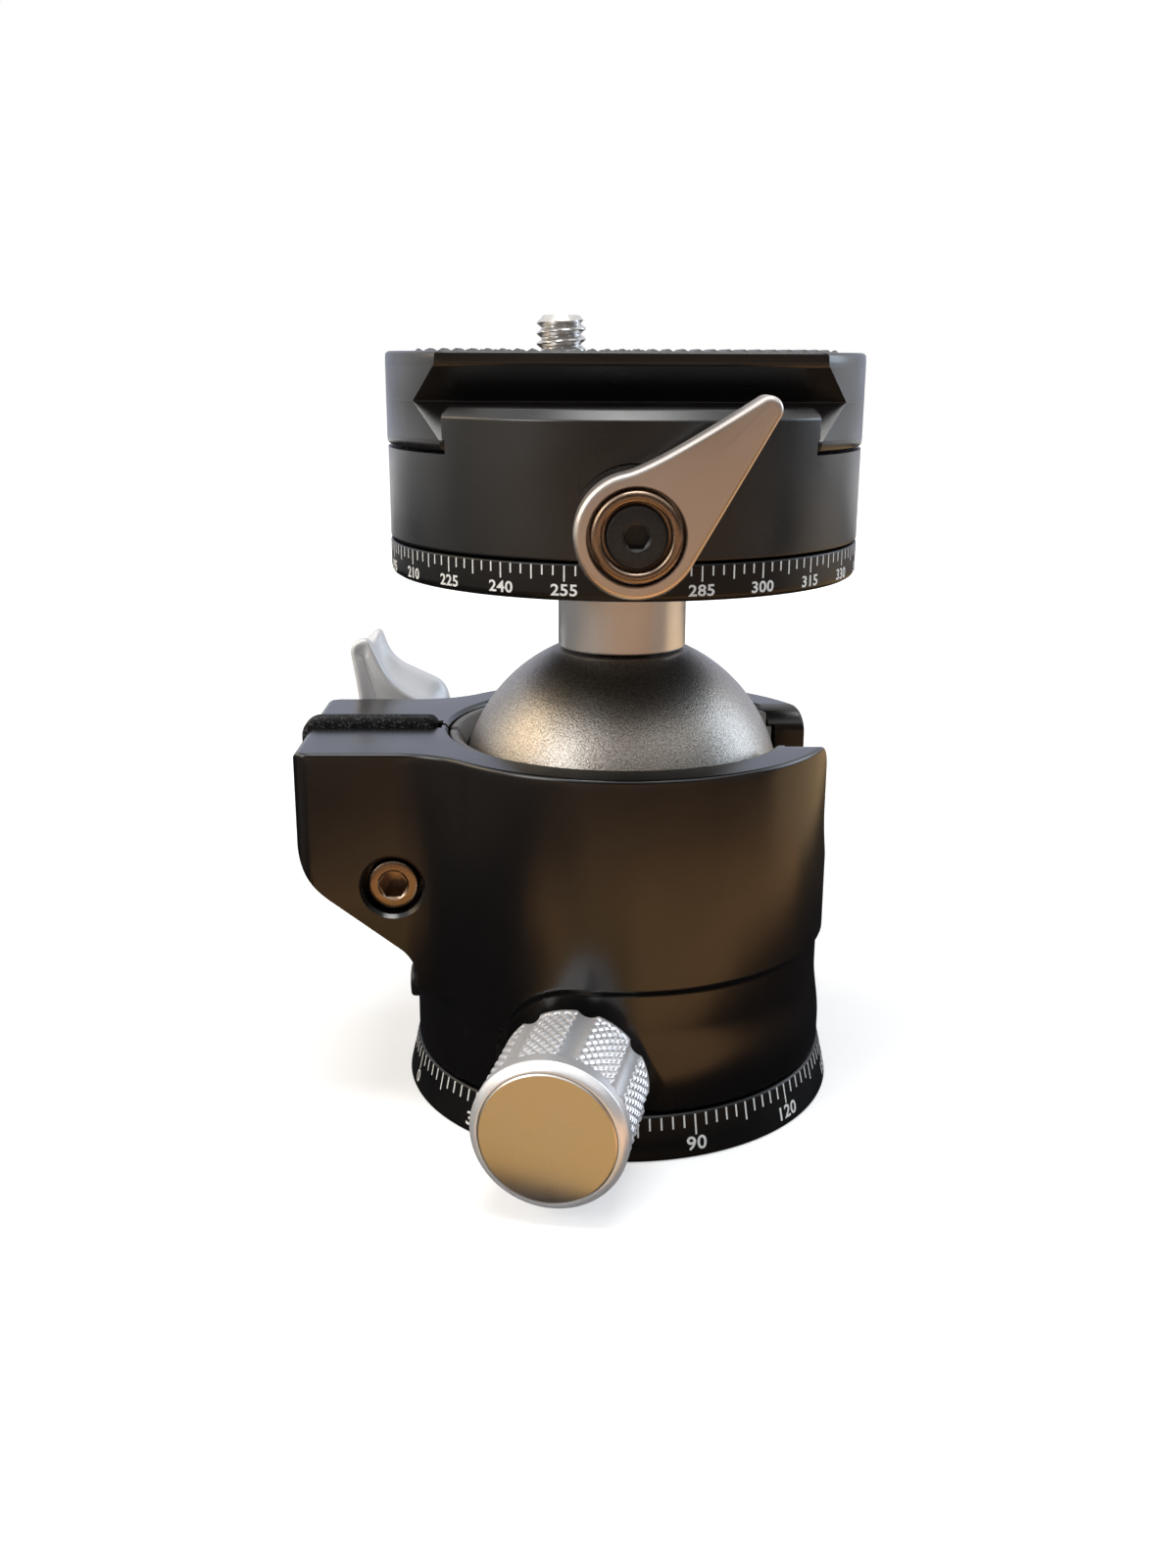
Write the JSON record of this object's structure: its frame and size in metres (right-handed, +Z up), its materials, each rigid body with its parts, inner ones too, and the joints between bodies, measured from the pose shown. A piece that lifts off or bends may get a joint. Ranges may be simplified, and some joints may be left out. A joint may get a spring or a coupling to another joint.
{
  "type": "tripod ball head",
  "caption": "Tripod ball head with a split clamp housing, panning base, drop notch and a panning dovetail clamp that holds a round quick-release plate.",
  "frame": {"origin": "on the panning axis, at the underside of the base, in the mouth of the hole for the tripod's screw", "axes": "+Z up along the panning axis; the top lock lever faces -Y; the housing's split faces -X and its drop notch +X"},
  "size_m": [0.0722, 0.0911, 0.1019],
  "materials": {
    "black_anodised": "satin black anodised aluminium",
    "ball_black": "fine dark anodised aluminium",
    "silver": "bead blasted silver anodised aluminium",
    "aluminium_black": "satin black anodised aluminium",
    "stainless": "turned stainless steel",
    "black_steel": "black oxide",
    "brass": "turned",
    "acetal": "grey acetal",
    "bearing_plastic": "natural nylon",
    "rubber": "matte"
  },
  "bodies": {
    "base": {"base_disc": "aluminium_black", "tripod_thread_insert": "stainless", "pan_bearing_washer": "bearing_plastic", "pan_spindle": "stainless", "spindle_screw_1": "stainless", "spindle_screw_2": "stainless", "spindle_screw_3": "stainless", "pan_retaining_washer": "stainless", "pan_retaining_screw": "black_steel"},
    "housing": {"housing": "aluminium_black", "ball_liner_front": "acetal", "ball_liner_rear": "acetal", "cup_spring": "stainless", "slot_seal": "rubber", "clamp_bolt": "stainless", "pan_stop_screw": "black_steel", "wing_lever_washer": "stainless"},
    "wing_lever": {"wing_lever": "silver", "wing_lever_insert": "brass"},
    "pan_shoe": {"pan_brake_shoe": "brass"},
    "pan_knob": {"pan_knob": "silver", "pan_knob_cap": "silver", "pan_lock_screw": "stainless"},
    "seat": {"ball_seat_cup": "acetal"},
    "ball": {"ball": "aluminium_black", "stem_sleeve": "silver", "stem_bolt": "black_steel", "top_scale_ring": "aluminium_black", "top_bearing_washer": "bearing_plastic", "top_spindle": "stainless", "top_retaining_washer": "stainless", "top_washer_screw_1": "black_steel", "top_washer_screw_2": "black_steel", "top_washer_screw_3": "black_steel"},
    "clamp": {"clamp_base": "aluminium_black", "jaw_guide_pin_left": "stainless", "jaw_guide_pin_right": "stainless", "jaw_spring_left": "stainless", "jaw_spring_right": "stainless", "jaw_stud": "stainless", "top_lever_bush": "stainless", "top_brake_shoe": "brass"},
    "top_lever": {"top_lever": "silver", "top_lever_ring": "stainless", "top_lever_screw": "black_steel"},
    "jaw": {"rear_jaw": "aluminium_black", "jaw_knob_washer": "stainless"},
    "jaw_knob": {"jaw_knob": "silver", "jaw_knob_cap": "silver"},
    "plate": {"quick_release_plate": "aluminium_black", "plate_pad_front": "rubber", "plate_pad_rear": "rubber"},
    "screw_slider": {"camera_screw_washer": "bearing_plastic"},
    "camera_screw": {"camera_screw": "stainless"}
  },
  "joints": [
    {"name": "base_pan", "type": "hinge", "parent": "base", "child": "housing", "pos_m": [0, 0, 0.0114], "axis": [0, 0, 1], "continuous": true},
    {"name": "wing_lever_turn", "type": "hinge", "parent": "housing", "child": "wing_lever", "pos_m": [-0.0296, 0.0173, 0.0317], "axis": [0, 1, 0], "range_deg": [-70, 15]},
    {"name": "pan_lock_travel", "type": "slide", "parent": "housing", "child": "pan_shoe", "axis": [-0.2181, -0.9759, 0], "range_m": [0, 0.00076]},
    {"name": "pan_knob_turn", "type": "hinge", "parent": "pan_shoe", "child": "pan_knob", "pos_m": [0, 0, 0.0114], "axis": [-0.2181, -0.9759, 0], "range_deg": [0, 270]},
    {"name": "lean_direction", "type": "hinge", "parent": "housing", "child": "seat", "pos_m": [0, 0, 0.0404], "axis": [0, 0, 1], "range_deg": [0, 360]},
    {"name": "ball_lean", "type": "hinge", "parent": "seat", "child": "ball", "pos_m": [0, 0, 0.0404], "axis": [0, 1, 0], "range_deg": [-30, 90]},
    {"name": "top_pan", "type": "hinge", "parent": "ball", "child": "clamp", "pos_m": [0, 0, 0.0784], "axis": [0, 0, 1], "continuous": true},
    {"name": "top_lever_turn", "type": "hinge", "parent": "clamp", "child": "top_lever", "pos_m": [0, -0.031, 0.0784], "axis": [0, -1, 0], "range_deg": [-60, 60]},
    {"name": "jaw_travel", "type": "slide", "parent": "clamp", "child": "jaw", "axis": [0, 1, 0], "range_m": [0, 0.0033]},
    {"name": "jaw_knob_turn", "type": "hinge", "parent": "jaw", "child": "jaw_knob", "pos_m": [0, 0.0303, 0.0804], "axis": [0, 1, 0], "range_deg": [0, 1440]},
    {"name": "plate_slide", "type": "slide", "parent": "clamp", "child": "plate", "axis": [1, 0, 0], "range_m": [-0.025, 0.025]},
    {"name": "camera_screw_slide", "type": "slide", "parent": "plate", "child": "screw_slider", "axis": [1, 0, 0], "range_m": [-0.0044, 0.0204]},
    {"name": "camera_screw_turn", "type": "hinge", "parent": "screw_slider", "child": "camera_screw", "pos_m": [-0.008, 0, 0.0904], "axis": [0, 0, 1], "continuous": true}
  ],
  "couplings": [
    {"joint": "pan_lock_travel", "follows": "pan_knob_turn", "m_per_rad": 0.00015915},
    {"joint": "jaw_travel", "follows": "jaw_knob_turn", "m_per_rad": 0.00012732}
  ]
}
